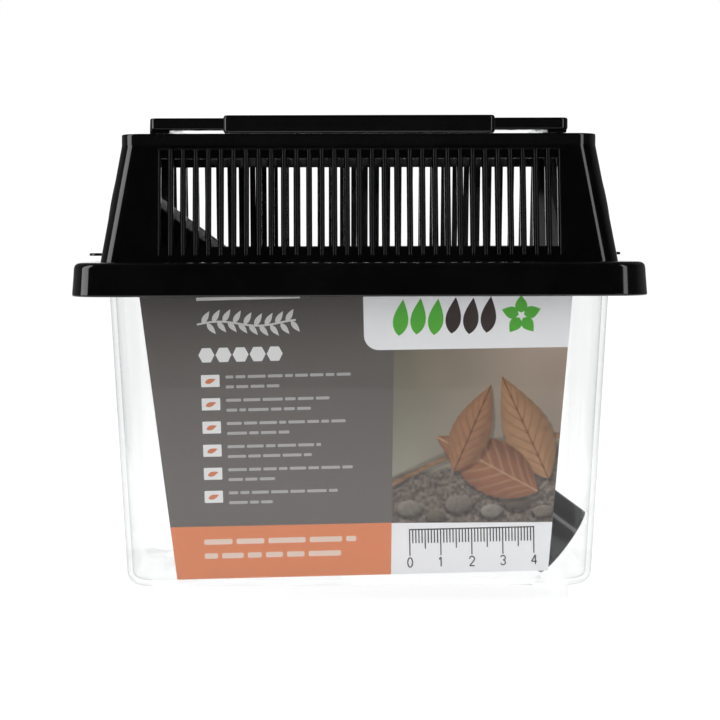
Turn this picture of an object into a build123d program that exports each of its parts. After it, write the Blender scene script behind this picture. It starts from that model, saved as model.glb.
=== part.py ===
from build123d import *
import math
import os

# A small clear keeper box for live crickets: a tapered clear tank on four moulded feet, a black
# hipped lid with upright vent slots, a clear hinged hatch and a folding carry handle on the lid's
# top, one black tube that runs down through the lid's left end, a plug in the lid's right end and
# a printed card inside the front wall. Millimetres. X runs along the box, the front is at -Y and
# the feet stand on Z = 0.

# ---------------------------------------------------------------- driving sizes

# Tank, measured outside at its top edge. Every wall leans in towards the floor by tank_draft.
tank_length = 161.0
tank_depth = 93.6
tank_height = 106.95
tank_draft = 2.92
tank_wall = 1.8
tank_floor = 2.0
tank_corner_radius = 10.0
tank_floor_radius = 4.5
tank_lip_thickness = 2.0
tank_lip_turn_down = 5.7
tank_lip_border = 1.8
tank_lip_skirt_gap = 0.5

# Feet, moulded under the floor in its four corners.
foot_height = 4.7
foot_length = 11.7
foot_depth = 11.0
foot_chamfer = 3.2
foot_rise = 1.1
foot_end_setback = 13.1
foot_front_setback = 0.3

# Printed card, which leans on the front wall. It stands a little askew on its lower left corner.
card_top_side_gap = 11.0
card_bottom_side_gap = 20.6
card_tilt = 1.25
card_centre_x = 0.95
card_thickness = 0.4
card_gap = 0.15
card_floor_gap = 0.3
card_top_drop = 4.0

# Lid rim, the skirt that hangs over the tank's lip.
rim_overhang = 10.9
rim_height = 10.75
rim_draft = 4.5
rim_wall = 2.0
rim_ledge = 2.4
rim_corner_radius = 12.5
rim_top_fillet = 2.0
rim_bottom_fillet = 0.6
lid_seat_gap = 0.1

# Lid body, the hipped shell over the rim: sloping walls and an upright band at the top.
body_inset = 8.75
body_slope_height = 37.1
body_draft = 10.0
body_band_height = 3.7
body_wall = 2.4
body_top_plate = 2.4
body_corner_radius = 8.0
body_top_fillet = 0.5

# Vent slots in the front and back walls: a narrow throat at the foot of a wider, taller recess.
slot_pitch = 4.0
slot_end_space = 18.0
slot_outer_width = 2.9
slot_inner_width = 2.05
slot_outer_height = 34.2
slot_inner_height = 28.5
slot_foot_height = 2.25
slot_recess_depth = 1.1
rib_edge_radius = 0.36
rib_edge_sink = 0.02

# Hatch, a clear plate in a rebate in the lid's top, hinged along its back edge.
hatch_end_border = 16.0
hatch_front_border = 14.5
hatch_back_border = 16.8
hatch_thickness = 1.6
hatch_corner_radius = 3.0
hatch_rise = 0.6
hatch_ledge = 2.5
hatch_side_gap = 0.4
hatch_seat_gap = 0.1
hatch_rib_width = 2.5
hatch_rib_height = 1.4
hatch_rib_chamfer = 0.84
hatch_rib_edge_gap = 0.2
hatch_rib_end_gap = 1.5
hatch_tab_width = 16.0
hatch_tab_reach = 2.8
hatch_tab_thickness = 1.4
hatch_tab_radius = 2.5

# Hatch hinge: two clear barrels with stub pins, each held in a black lug on the lid.
hatch_barrel_radius = 1.4
hatch_barrel_length = 8.0
hatch_barrel_inset = 7.0
hatch_pin_radius = 0.8
hatch_lug_thickness = 2.4
hatch_lug_radius = 1.6
lug_root = 0.6
hinge_top_gap = 0.25
hinge_side_gap = 0.3
hinge_arm_reach = 3.0
hinge_arm_thickness = 1.3

# Handle, a flat bail with a thicker grip. It folds forward on to the lid's top.
handle_end_border = 9.4
handle_bar_thickness = 3.8
handle_bar_depth = 6.0
handle_arm_width = 6.1
handle_corner_radius = 2.6
handle_edge_fillet = 0.6
grip_end_space = 23.5
grip_thickness = 5.5
grip_depth = 9.0
grip_corner_radius = 1.8
grip_edge_fillet = 0.8
grip_lid_gap = 0.35
grip_rest_gap = 0.1
handle_pin_radius = 1.5
ear_thickness = 2.2
ear_radius = 3.1
ear_gap = 0.35
pin_clearance = 0.05

# Tube, from the port in the lid's left end wall down to the right end of the tank's floor.
tube_radius = 12.5
tube_wall = 1.4
tube_end_wall = 1.6
tube_card_gap = 0.6
tube_floor_gap = 0.5
tube_wall_gap = 0.4
tube_fit_steps = 30
port_height = 16.8
port_clearance = 0.1
port_flange_width = 1.5
port_flange_thickness = 1.2
port_flange_seat_gap = 0.05
port_collar_wall = 1.5
port_collar_depth = 8.0
plug_depth = 3.5
tab_width = 8.8
tab_reach = 5.3
plug_tab_reach = 3.0
tab_thickness = 0.9
tab_edge_fillet = 0.35
tab_round_share = 0.7
tab_root = 0.6
tab_drop = 14.35

# ---------------------------------------------------------------- places worked out from them

floor_top_z = foot_height + tank_floor
tank_lean = math.tan(math.radians(tank_draft))
tank_bottom_half_depth = tank_depth / 2 - (tank_height - foot_height) * tank_lean
tank_inner_floor_radius = tank_floor_radius - tank_wall

rim_length = tank_length + 2 * rim_overhang
rim_depth = tank_depth + 2 * rim_overhang
body_length = rim_length - 2 * body_inset
body_depth = rim_depth - 2 * body_inset
body_lean = math.radians(body_draft)
body_wall_level = body_wall / math.cos(body_lean)
top_length = body_length - 2 * body_slope_height * math.tan(body_lean)
top_depth = body_depth - 2 * body_slope_height * math.tan(body_lean)
slot_count = int((body_length - 2 * slot_end_space) / slot_pitch)

ledge_z = tank_height + lid_seat_gap
rim_top_z = ledge_z + rim_ledge
rim_bottom_z = rim_top_z - rim_height
skirt_height = rim_height - rim_ledge
skirt_inset = rim_wall + skirt_height * math.tan(math.radians(rim_draft))
band_z = rim_top_z + body_slope_height
lid_top_z = band_z + body_band_height
lid_ceiling_z = lid_top_z - body_top_plate

# The card's top touches the front wall, and the curve at the wall's foot holds its bottom off it.
card_top_width = tank_length - 2 * card_top_side_gap
card_bottom_width = tank_length - 2 * card_bottom_side_gap
card_lift = card_bottom_width / 2 * math.sin(math.radians(card_tilt))
card_bottom_z = floor_top_z + card_floor_gap
card_top_z = tank_height - card_top_drop
card_foot_rise = tank_inner_floor_radius - card_floor_gap
card_foot_inset = tank_inner_floor_radius - math.sqrt(
    tank_inner_floor_radius**2 - card_foot_rise**2
)


def front_wall_inside_y(z):
    """Y of the inner face of the tank's front wall at height z."""
    return -(tank_depth / 2 - tank_wall - (tank_height - z) * tank_lean)


card_bottom_y = front_wall_inside_y(card_bottom_z) + card_gap + card_foot_inset
card_top_y = front_wall_inside_y(card_top_z) + card_gap
card_rise = card_top_z - card_bottom_z
card_run = card_top_y - card_bottom_y

# The tube's slope brings the edge of its lower end just clear of the tank's floor and end wall.
# Slope and end depend on each other, so they are worked out in turn until they settle.
port_z = rim_top_z + port_height
port_x = -(body_length / 2 - port_height * math.tan(body_lean))
tube_lean = math.pi / 4
for _ in range(tube_fit_steps):
    tube_end_rise = tube_radius * math.cos(tube_lean)
    tube_end_z = floor_top_z + tube_floor_gap + tube_end_rise
    wall_lean_in = (tank_height - tube_end_z - tube_end_rise) * tank_lean
    tube_tip_x = tank_length / 2 - tank_wall - wall_lean_in - tube_wall_gap
    tube_end_x = tube_tip_x - tube_radius * math.sin(tube_lean)
    tube_lean = math.atan2(port_z - tube_end_z, tube_end_x - port_x)

# The tube's axis lies in an upright plane just behind the card.
card_y_at_tube = card_bottom_y + card_run * (tube_end_z - card_bottom_z) / card_rise
tube_y = card_y_at_tube + card_thickness + tube_card_gap + tube_radius
tube_length = (port_z - tube_end_z) / math.sin(tube_lean)
tube_bore_radius = tube_radius - tube_wall
port_radius = tube_radius + port_clearance
flange_radius = tube_radius + port_flange_width
recess_depth = port_flange_thickness + port_flange_seat_gap

hatch_top_z = lid_top_z + hatch_rise
hatch_bottom_z = hatch_top_z - hatch_thickness
hatch_width = top_length - 2 * hatch_end_border
hatch_depth = top_depth - hatch_front_border - hatch_back_border
hatch_half_depth = hatch_depth / 2
hatch_centre_y = (hatch_front_border - hatch_back_border) / 2
hatch_rib_x = hatch_width / 2 - hatch_rib_edge_gap - hatch_rib_width / 2
hinge_y = hatch_centre_y + hatch_half_depth + hatch_side_gap + hinge_side_gap + hatch_lug_radius
hinge_z = lid_top_z + hinge_top_gap + hatch_barrel_radius
hatch_barrel_end_x = hatch_width / 2 - hatch_barrel_inset
hatch_barrel_x = hatch_barrel_end_x - hatch_barrel_length / 2
hatch_lug_x = hatch_barrel_end_x + hinge_side_gap + hatch_lug_thickness / 2
hatch_pin_length = hinge_side_gap + hatch_lug_thickness

handle_width = top_length - 2 * handle_end_border
handle_reach = (top_depth - grip_depth) / 2
grip_length = handle_width - 2 * grip_end_space
arm_radius = grip_thickness / 2
arm_reach = handle_reach - handle_bar_depth / 2
handle_z = lid_top_z + grip_lid_gap + grip_thickness / 2
handle_arm_x = handle_width / 2 - handle_arm_width / 2
ear_x = handle_width / 2 + ear_gap + ear_thickness / 2
handle_pin_length = ear_gap + ear_thickness

# Planes at the left port: one square to the tube's axis, one on the end wall's outer face.
port_point = (port_x, tube_y, port_z)
tube_plane = Plane(
    port_point, x_dir=(0, 1, 0), z_dir=(math.cos(tube_lean), 0, -math.sin(tube_lean))
)
wall_plane = Plane(
    port_point, x_dir=(0, 1, 0), z_dir=(-math.cos(body_lean), 0, math.sin(body_lean))
)


def port_bar(radius, outer_depth, inner_depth):
    """A round bar on the tube's axis, cut off parallel to the left end wall at two depths."""
    reach = inner_depth + abs(outer_depth) + 2 * radius
    with BuildPart() as bar:
        with BuildSketch(tube_plane):
            Circle(radius)
        extrude(amount=reach, both=True)
        split(bisect_by=wall_plane.offset(-outer_depth), keep=Keep.BOTTOM)
        split(bisect_by=wall_plane.offset(-inner_depth), keep=Keep.TOP)
    return bar.part


def pull_tab(reach):
    """A level finger tab with a rounded end, low on the port's flange."""
    tab_x = port_x - tab_drop * math.tan(body_lean) + tab_root
    with BuildPart() as tab:
        with BuildSketch(Plane.XY.offset(port_z - tab_drop - tab_thickness / 2)):
            with Locations((tab_x, tube_y)):
                Rectangle(reach + tab_root, tab_width, align=(Align.MAX, Align.CENTER))
            fillet(vertices().group_by(Axis.X)[0], tab_round_share * reach)
        extrude(amount=tab_thickness)
        fillet(faces().sort_by(Axis.Z)[-1].edges(), tab_edge_fillet)
    return tab.part


os.makedirs("parts", exist_ok=True)

# ---------------------------------------------------------------- tank

with BuildPart() as tank_hollow:
    with BuildSketch(Plane((0, 0, tank_height), z_dir=(0, 0, -1))):
        Rectangle(tank_length - 2 * tank_wall, tank_depth - 2 * tank_wall)
    extrude(amount=tank_height - floor_top_z, taper=tank_draft)
    upright = edges().filter_by_position(Axis.Z, floor_top_z + 1, tank_height - 1)
    fillet(upright, tank_corner_radius - tank_wall)
    fillet(faces().sort_by(Axis.Z)[0].edges(), tank_inner_floor_radius)

with BuildPart() as tank:
    with BuildSketch(Plane((0, 0, tank_height), z_dir=(0, 0, -1))):
        Rectangle(tank_length, tank_depth)
    extrude(amount=tank_height - foot_height, taper=tank_draft)
    upright = edges().filter_by_position(Axis.Z, foot_height + 1, tank_height - 1)
    fillet(upright, tank_corner_radius)
    fillet(faces().sort_by(Axis.Z)[0].edges(), tank_floor_radius)

    # Lip: a flat flange at the top edge with a turned-down border, inside the lid's rim.
    lip_inset = skirt_inset + tank_lip_skirt_gap
    lip_length = rim_length - 2 * lip_inset
    lip_depth = rim_depth - 2 * lip_inset
    lip_radius = rim_corner_radius - lip_inset
    with BuildSketch(Plane.XY.offset(tank_height)) as lip:
        RectangleRounded(lip_length, lip_depth, lip_radius)
    extrude(amount=-tank_lip_thickness)
    with BuildSketch(Plane.XY.offset(tank_height)):
        add(lip.sketch_local)
        offset(lip.sketch_local, amount=-tank_lip_border, mode=Mode.SUBTRACT)
    extrude(amount=-tank_lip_turn_down)

    # Feet: blocks flush with the long walls, each with its outer corner cut off.
    foot_x = tank_length / 2 - foot_end_setback - foot_length / 2
    foot_y = tank_bottom_half_depth - foot_front_setback - foot_depth / 2
    with BuildSketch():
        with GridLocations(2 * foot_x, 2 * foot_y, 2, 2):
            Rectangle(foot_length, foot_depth)
        outer = [v for v in vertices() if abs(v.X) > foot_x and abs(v.Y) > foot_y]
        chamfer(outer, foot_chamfer)
    extrude(amount=foot_height + foot_rise)
    add(tank_hollow.part, mode=Mode.SUBTRACT)

tank.part.label = "tank"
export_step(tank.part, "parts/tank.step")

# ---------------------------------------------------------------- printed card

card_plane = Plane(
    (card_centre_x, card_bottom_y, card_bottom_z),
    x_dir=(1, 0, 0),
    z_dir=(0, -card_rise, card_run),
)
with BuildPart() as label_card:
    with BuildSketch(card_plane):
        card_height = math.hypot(card_rise, card_run)
        with Locations((0, card_lift)):
            Polygon(
                (-card_bottom_width / 2, 0),
                (card_bottom_width / 2, 0),
                (card_top_width / 2, card_height),
                (-card_top_width / 2, card_height),
                rotation=card_tilt,
                align=None,
            )
    extrude(amount=-card_thickness)

label_card.part.label = "label_card"
export_step(label_card.part, "parts/label_card.step")

# ---------------------------------------------------------------- lid

with BuildPart() as lid_hollow:
    with BuildSketch(Plane.XY.offset(rim_top_z)):
        Rectangle(body_length - 2 * body_wall_level, body_depth - 2 * body_wall_level)
    extrude(amount=body_slope_height, taper=body_draft)
    sloping = edges().filter_by_position(Axis.Z, rim_top_z + 1, band_z - 1)
    fillet(sloping, body_corner_radius - body_wall)
    extrude(faces().sort_by(Axis.Z)[-1], amount=lid_ceiling_z - band_z)
    extrude(faces().sort_by(Axis.Z)[0], amount=rim_ledge)
    with BuildSketch(Plane.XY.offset(rim_bottom_z)):
        RectangleRounded(
            rim_length - 2 * rim_wall, rim_depth - 2 * rim_wall, rim_corner_radius - rim_wall
        )
    extrude(amount=skirt_height, taper=rim_draft)

# One slot through the front wall and its twin in the back wall.
slot_middle = slot_foot_height / math.cos(body_lean) + slot_outer_height / 2
front_face = Plane(
    (
        0,
        -body_depth / 2 + slot_middle * math.sin(body_lean),
        rim_top_z + slot_middle * math.cos(body_lean),
    ),
    x_dir=(1, 0, 0),
    z_dir=(0, -math.cos(body_lean), math.sin(body_lean)),
)
with BuildPart() as slot_pair:
    with BuildSketch(front_face):
        Rectangle(slot_inner_width, slot_inner_height)
    extrude(amount=-2 * body_wall)
    with BuildSketch(front_face):
        Rectangle(slot_outer_width, slot_outer_height)
    extrude(amount=-slot_recess_depth)

    # The ribs between the slots have rounded edges, so the mouth flares out in two arcs.
    with BuildSketch(Plane(front_face.origin, x_dir=(1, 0, 0), z_dir=front_face.y_dir)):
        Rectangle(slot_outer_width + 2 * rib_edge_radius, 2 * rib_edge_radius)
        arc_x = slot_outer_width / 2 + rib_edge_radius
        arc_depth = rib_edge_radius + rib_edge_sink
        with Locations((-arc_x, arc_depth), (arc_x, arc_depth)):
            Circle(rib_edge_radius, mode=Mode.SUBTRACT)
    extrude(amount=slot_outer_height / 2, both=True)
    mirror(about=Plane.XZ)

# The ports: a collar inside each end wall, bored for the tube and recessed for its flange.
with BuildPart() as port_collars:
    add(port_bar(port_radius + port_collar_wall, body_wall / 2, port_collar_depth))
    split(bisect_by=Plane.XY.offset(ledge_z), keep=Keep.TOP)
    mirror(about=Plane.YZ)

with BuildPart() as port_bores:
    add(port_bar(port_radius, -body_wall, 2 * port_collar_depth))
    add(port_bar(flange_radius + port_clearance, -body_wall, recess_depth))
    mirror(about=Plane.YZ)

with BuildPart() as lid:
    with BuildSketch(Plane.XY.offset(rim_bottom_z)):
        RectangleRounded(rim_length, rim_depth, rim_corner_radius)
    extrude(amount=rim_height, taper=rim_draft)
    fillet(faces().sort_by(Axis.Z)[-1].edges(), rim_top_fillet)
    fillet(faces().sort_by(Axis.Z)[0].edges(), rim_bottom_fillet)

    with BuildSketch(Plane.XY.offset(rim_top_z)):
        Rectangle(body_length, body_depth)
    extrude(amount=body_slope_height, taper=body_draft)
    fillet(edges().filter_by_position(Axis.Z, rim_top_z + 1, band_z - 1), body_corner_radius)
    extrude(faces().sort_by(Axis.Z)[-1], amount=body_band_height)
    fillet(faces().sort_by(Axis.Z)[-1].edges(), body_top_fillet)
    add(lid_hollow.part, mode=Mode.SUBTRACT)

    with GridLocations(slot_pitch, 0, slot_count, 1):
        add(slot_pair.part, mode=Mode.SUBTRACT)
    add(port_collars.part)
    add(port_bores.part, mode=Mode.SUBTRACT)

    # Hatch opening, with a rebate that the hatch's edge lies in.
    with BuildSketch(Plane.XY.offset(lid_top_z)):
        with Locations((0, hatch_centre_y)):
            RectangleRounded(
                hatch_width + 2 * hatch_side_gap,
                hatch_depth + 2 * hatch_side_gap,
                hatch_corner_radius + hatch_side_gap,
            )
    extrude(amount=hatch_rise - hatch_thickness - hatch_seat_gap, mode=Mode.SUBTRACT)
    with BuildSketch(Plane.XY.offset(lid_top_z)):
        with Locations((0, hatch_centre_y)):
            RectangleRounded(
                hatch_width - 2 * hatch_ledge, hatch_depth - 2 * hatch_ledge, hatch_corner_radius
            )
    extrude(amount=-body_top_plate, mode=Mode.SUBTRACT)

    # Lugs for the hatch's pins and ears for the handle's, each bored right through.
    for lug_x, y, z, radius, thickness, bore in (
        (hatch_lug_x, hinge_y, hinge_z, hatch_lug_radius, hatch_lug_thickness, hatch_pin_radius),
        (ear_x, 0, handle_z, ear_radius, ear_thickness, handle_pin_radius),
    ):
        for side in (-1, 1):
            with BuildSketch(Plane((side * lug_x, y, z), x_dir=(0, 1, 0), z_dir=(1, 0, 0))):
                Circle(radius)
                Rectangle(
                    2 * radius, z - lid_top_z + lug_root, align=(Align.CENTER, Align.MAX)
                )
                Circle(bore + pin_clearance, mode=Mode.SUBTRACT)
            extrude(amount=thickness / 2, both=True)

lid.part.label = "lid"
export_step(lid.part, "parts/lid.step")

# ---------------------------------------------------------------- hatch

with BuildPart() as hatch:
    with BuildSketch(Plane.XY.offset(hatch_bottom_z)):
        with Locations((0, hatch_centre_y)):
            RectangleRounded(hatch_width, hatch_depth, hatch_corner_radius)
    extrude(amount=hatch_thickness)

    # Raised ribs along both ends.
    with BuildSketch(Plane.XY.offset(hatch_top_z)):
        with Locations((-hatch_rib_x, hatch_centre_y), (hatch_rib_x, hatch_centre_y)):
            Rectangle(hatch_rib_width, hatch_depth - 2 * hatch_rib_end_gap)
    extrude(amount=hatch_rib_height)
    rib_tops = faces().group_by(Axis.Z)[-1].edges().filter_by(Axis.X)
    chamfer(rib_tops, hatch_rib_chamfer)

    # Finger tab at the middle of the front edge, clear of the lid's top.
    with BuildSketch(Plane.XY.offset(lid_top_z + hinge_top_gap)):
        with Locations((0, hatch_centre_y - hatch_half_depth - hatch_tab_reach)):
            Rectangle(hatch_tab_width, 2 * hatch_tab_reach, align=(Align.CENTER, Align.MIN))
        fillet(vertices().group_by(Axis.Y)[0], hatch_tab_radius)
    extrude(amount=hatch_tab_thickness)

    # Hinge: an arm off the plate, a barrel on it and a stub pin out of the barrel's outer end.
    for side in (-1, 1):
        with BuildSketch(Plane.XY.offset(lid_top_z + hinge_top_gap)):
            with Locations((side * hatch_barrel_x, hinge_y)):
                Rectangle(
                    hatch_barrel_length,
                    hinge_y - hatch_centre_y - hatch_half_depth + hinge_arm_reach,
                    align=(Align.CENTER, Align.MAX),
                )
        extrude(amount=hinge_arm_thickness)
        inner_end = (side * (hatch_barrel_end_x - hatch_barrel_length), hinge_y, hinge_z)
        with BuildSketch(Plane(inner_end, x_dir=(0, 1, 0), z_dir=(side, 0, 0))):
            Circle(hatch_barrel_radius)
        extrude(amount=hatch_barrel_length)
        outer_end = (side * hatch_barrel_end_x, hinge_y, hinge_z)
        with BuildSketch(Plane(outer_end, x_dir=(0, 1, 0), z_dir=(side, 0, 0))):
            Circle(hatch_pin_radius)
        extrude(amount=hatch_pin_length)

hatch.part.label = "hatch"
export_step(hatch.part, "parts/hatch.step")

# ---------------------------------------------------------------- handle

# The grip's underside reaches lower than the arms, because the folded handle rests on it.
with BuildPart() as grip:
    with BuildSketch(Plane.XY.offset(lid_top_z + grip_rest_gap)):
        with Locations((0, -handle_reach)):
            RectangleRounded(grip_length, grip_depth, grip_corner_radius)
    extrude(amount=grip_thickness + grip_lid_gap - grip_rest_gap)
    fillet(faces().filter_by(Axis.Z).edges(), grip_edge_fillet)

# The arms lie on the lid's top, lower than the bar but level with its top, and end round.
with BuildPart() as arms:
    for side in (-1, 1):
        with BuildSketch(Plane((side * handle_arm_x, 0, handle_z), x_dir=(0, 1, 0), z_dir=(1, 0, 0))):
            with Locations((0, -arm_radius)):
                Rectangle(
                    arm_reach + handle_edge_fillet,
                    arm_radius + handle_bar_thickness / 2,
                    align=(Align.MAX, Align.MIN),
                )
        extrude(amount=handle_arm_width / 2, both=True)
    fillet(edges().filter_by(Axis.Y), handle_edge_fillet)
    for side in (-1, 1):
        with BuildSketch(Plane((side * handle_arm_x, 0, handle_z), x_dir=(0, 1, 0), z_dir=(1, 0, 0))):
            Circle(arm_radius)
        extrude(amount=handle_arm_width / 2, both=True)

with BuildPart() as handle:
    with BuildSketch(Plane.XY.offset(handle_z)):
        with Locations((0, -arm_reach)):
            Rectangle(handle_width, handle_bar_depth, align=(Align.CENTER, Align.MAX))
        fillet(vertices().group_by(Axis.Y)[0], handle_corner_radius)
    extrude(amount=handle_bar_thickness / 2, both=True)
    flat_edges = faces().filter_by(Axis.Z).edges()
    bar_back_y = -arm_reach - handle_edge_fillet
    fillet(flat_edges.filter_by_position(Axis.Y, -2 * handle_reach, bar_back_y), handle_edge_fillet)
    add(arms.part)
    add(grip.part)

    for side in (-1, 1):
        arm_side = (side * handle_width / 2, 0, handle_z)
        with BuildSketch(Plane(arm_side, x_dir=(0, 1, 0), z_dir=(side, 0, 0))):
            Circle(handle_pin_radius)
        extrude(amount=handle_pin_length)

handle.part.label = "handle"
export_step(handle.part, "parts/handle.step")

# ---------------------------------------------------------------- tube and port plug

with BuildPart() as tube:
    with BuildSketch(tube_plane):
        Circle(tube_radius)
    extrude(amount=tube_length)
    extrude(faces().filter_by(GeomType.PLANE).sort_by(Axis.X)[0], amount=2 * tube_radius)
    split(bisect_by=wall_plane, keep=Keep.BOTTOM)
    with BuildSketch(tube_plane.offset(tube_length)):
        Circle(tube_bore_radius)
    extrude(amount=-(tube_length + tube_radius), mode=Mode.SUBTRACT)
    add(port_bar(flange_radius, 0, port_flange_thickness))
    add(port_bar(tube_radius, 0, tube_end_wall))
    add(pull_tab(tab_reach))

tube.part.label = "tube"
export_step(tube.part, "parts/tube.step")

with BuildPart() as port_plug:
    add(port_bar(flange_radius, 0, port_flange_thickness))
    add(port_bar(tube_radius, 0, plug_depth))
    add(pull_tab(plug_tab_reach))
    mirror(about=Plane.YZ, mode=Mode.REPLACE)

port_plug.part.label = "port_plug"
export_step(port_plug.part, "parts/port_plug.step")
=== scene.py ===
import math

import bpy
import numpy as np
from mathutils import Matrix, Vector


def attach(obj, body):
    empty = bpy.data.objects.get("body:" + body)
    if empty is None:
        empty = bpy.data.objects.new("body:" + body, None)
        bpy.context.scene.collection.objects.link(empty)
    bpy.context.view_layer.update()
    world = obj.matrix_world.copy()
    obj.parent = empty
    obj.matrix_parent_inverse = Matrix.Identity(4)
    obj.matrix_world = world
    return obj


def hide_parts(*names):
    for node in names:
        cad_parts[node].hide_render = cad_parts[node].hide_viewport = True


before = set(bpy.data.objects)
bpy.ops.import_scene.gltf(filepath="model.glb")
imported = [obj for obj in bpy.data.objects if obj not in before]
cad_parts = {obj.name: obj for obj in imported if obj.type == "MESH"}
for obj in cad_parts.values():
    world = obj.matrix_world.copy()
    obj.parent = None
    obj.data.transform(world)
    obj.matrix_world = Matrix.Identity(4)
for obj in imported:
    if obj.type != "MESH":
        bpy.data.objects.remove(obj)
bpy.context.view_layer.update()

# The cricket keeper box: a clear tapered tank with a printed card inside its front wall, under a
# glossy black slotted lid with a clear hatch, a folding handle and a black tube. Metres, in the
# model's own frame: +X to the right, the front at -Y, +Z up, the feet standing on Z = 0.

MM = 0.001


# ---------------------------------------------------------------- small helpers for materials

def new_material(name):
    """A node material that holds only a Principled shader joined to its output."""
    material = bpy.data.materials.new(name)
    material.use_nodes = True
    tree = material.node_tree
    tree.nodes.clear()
    output = tree.nodes.new("ShaderNodeOutputMaterial")
    shader = tree.nodes.new("ShaderNodeBsdfPrincipled")
    tree.links.new(shader.outputs["BSDF"], output.inputs["Surface"])
    return material, tree, shader


def object_noise(tree, scale, detail, roughness):
    """A noise pattern on the piece's own coordinates, scale in cycles per metre."""
    coordinates = tree.nodes.new("ShaderNodeTexCoord")
    noise = tree.nodes.new("ShaderNodeTexNoise")
    noise.inputs["Scale"].default_value = scale
    noise.inputs["Detail"].default_value = detail
    noise.inputs["Roughness"].default_value = roughness
    tree.links.new(coordinates.outputs["Object"], noise.inputs["Vector"])
    return noise.outputs["Fac"]


def remap(tree, value, low, high, new_low, new_high):
    """A value taken in a straight line from low..high to new_low..new_high, held at the ends."""
    node = tree.nodes.new("ShaderNodeMapRange")
    node.inputs["From Min"].default_value = low
    node.inputs["From Max"].default_value = high
    node.inputs["To Min"].default_value = new_low
    node.inputs["To Max"].default_value = new_high
    tree.links.new(value, node.inputs["Value"])
    return node.outputs["Result"]


def blend_colours(tree, share, first, second):
    """A colour between two fixed ones, by a 0..1 share."""
    ramp = tree.nodes.new("ShaderNodeValToRGB")
    ramp.color_ramp.elements[0].color = (*first, 1)
    ramp.color_ramp.elements[1].color = (*second, 1)
    tree.links.new(share, ramp.inputs["Fac"])
    return ramp.outputs["Color"]


def bump_chain(tree, layers, edge_radius=0.0):
    """A normal from several height patterns, each (value, height in metres).

    Where an edge radius is given, sharp edges shine as if they were rounded to it.
    """
    previous = None
    if edge_radius:
        rounded = tree.nodes.new("ShaderNodeBevel")
        rounded.samples = EDGE_SAMPLES
        rounded.inputs["Radius"].default_value = edge_radius
        previous = rounded.outputs["Normal"]
    for height, distance in layers:
        bump = tree.nodes.new("ShaderNodeBump")
        bump.inputs["Strength"].default_value = 1.0
        bump.inputs["Distance"].default_value = distance
        tree.links.new(height, bump.inputs["Height"])
        if previous is not None:
            tree.links.new(previous, bump.inputs["Normal"])
        previous = bump.outputs["Normal"]
    return previous


def math_node(tree, operation, *values):
    """One step of arithmetic; each value is a number or another node's output."""
    node = tree.nodes.new("ShaderNodeMath")
    node.operation = operation
    for socket, value in zip(node.inputs, values):
        if isinstance(value, float):
            socket.default_value = value
        else:
            tree.links.new(value, socket)
    return node.outputs[0]


def split_vector(tree, vector):
    """The X, Y and Z of a vector, by name."""
    node = tree.nodes.new("ShaderNodeSeparateXYZ")
    tree.links.new(vector, node.inputs[0])
    return node.outputs


def mix_shaders(tree, share, first, second):
    """The first shader where share is 0, the second where it is 1."""
    node = tree.nodes.new("ShaderNodeMixShader")
    tree.links.new(share, node.inputs[0])
    tree.links.new(first, node.inputs[1])
    tree.links.new(second, node.inputs[2])
    return node.outputs[0]


# ---------------------------------------------------------------- materials

# Noise patterns: cycles per metre, detail and roughness.
SCUFFS = (60, 4, 0.6)
SKIN = (2500, 2, 0.5)
SINKS = (28, 1, 0.4)
RUBBED = (45, 4, 0.6)
WAVES = (22, 1, 0.4)
FIBRES = (900, 3, 0.6)

# How high the patterns stand, and how far the moulding's edges are rounded, in metres.
SINK_DEPTH = 0.00004
SKIN_DEPTH = 0.000001
WAVE_DEPTH = 0.00006
FIBRE_DEPTH = 0.000002
EDGE_RADIUS = 0.00013
EDGE_SAMPLES = 6

BLACK_IOR = 1.5
CLEAR_IOR = 1.49


def black_moulding(name, dark, light, smooth, rough):
    """Glossy black moulding: faint sink marks, a fine skin, and scuffed patches that are duller."""
    material, tree, shader = new_material(name)
    scuffs = object_noise(tree, *SCUFFS)
    skin = object_noise(tree, *SKIN)
    sinks = object_noise(tree, *SINKS)
    share = remap(tree, scuffs, 0.35, 0.7, 0, 1)
    tree.links.new(blend_colours(tree, share, dark, light), shader.inputs["Base Color"])
    tree.links.new(remap(tree, scuffs, 0.3, 0.75, smooth, rough), shader.inputs["Roughness"])
    shader.inputs["IOR"].default_value = BLACK_IOR
    normal = bump_chain(tree, [(sinks, SINK_DEPTH), (skin, SKIN_DEPTH)], EDGE_RADIUS)
    tree.links.new(normal, shader.inputs["Normal"])
    return material


CLEAR_GLASS_SHARE = 0.035
FOOT_GLASS_SHARE = 0.25
HATCH_GLASS_SHARE = 0.3
FOOT_TOP = 6.2 * MM
POLISH_HEAD_ON = 0.024
POLISH_EDGE_ON = 0.35
POLISH_ROUGHNESS = 0.03
# See-through colours: near white on the walls, and a grey at edge-on corners that is painted shade.
CLEAR_WALL = (0.996, 0.998, 0.998)
CLEAR_CORNER_PAINTED_SHADE = (0.48, 0.51, 0.53)
CORNER_BEND = (0.02, 0.06)
CORNER_OUTWARD = (0.0, 0.01)


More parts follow.
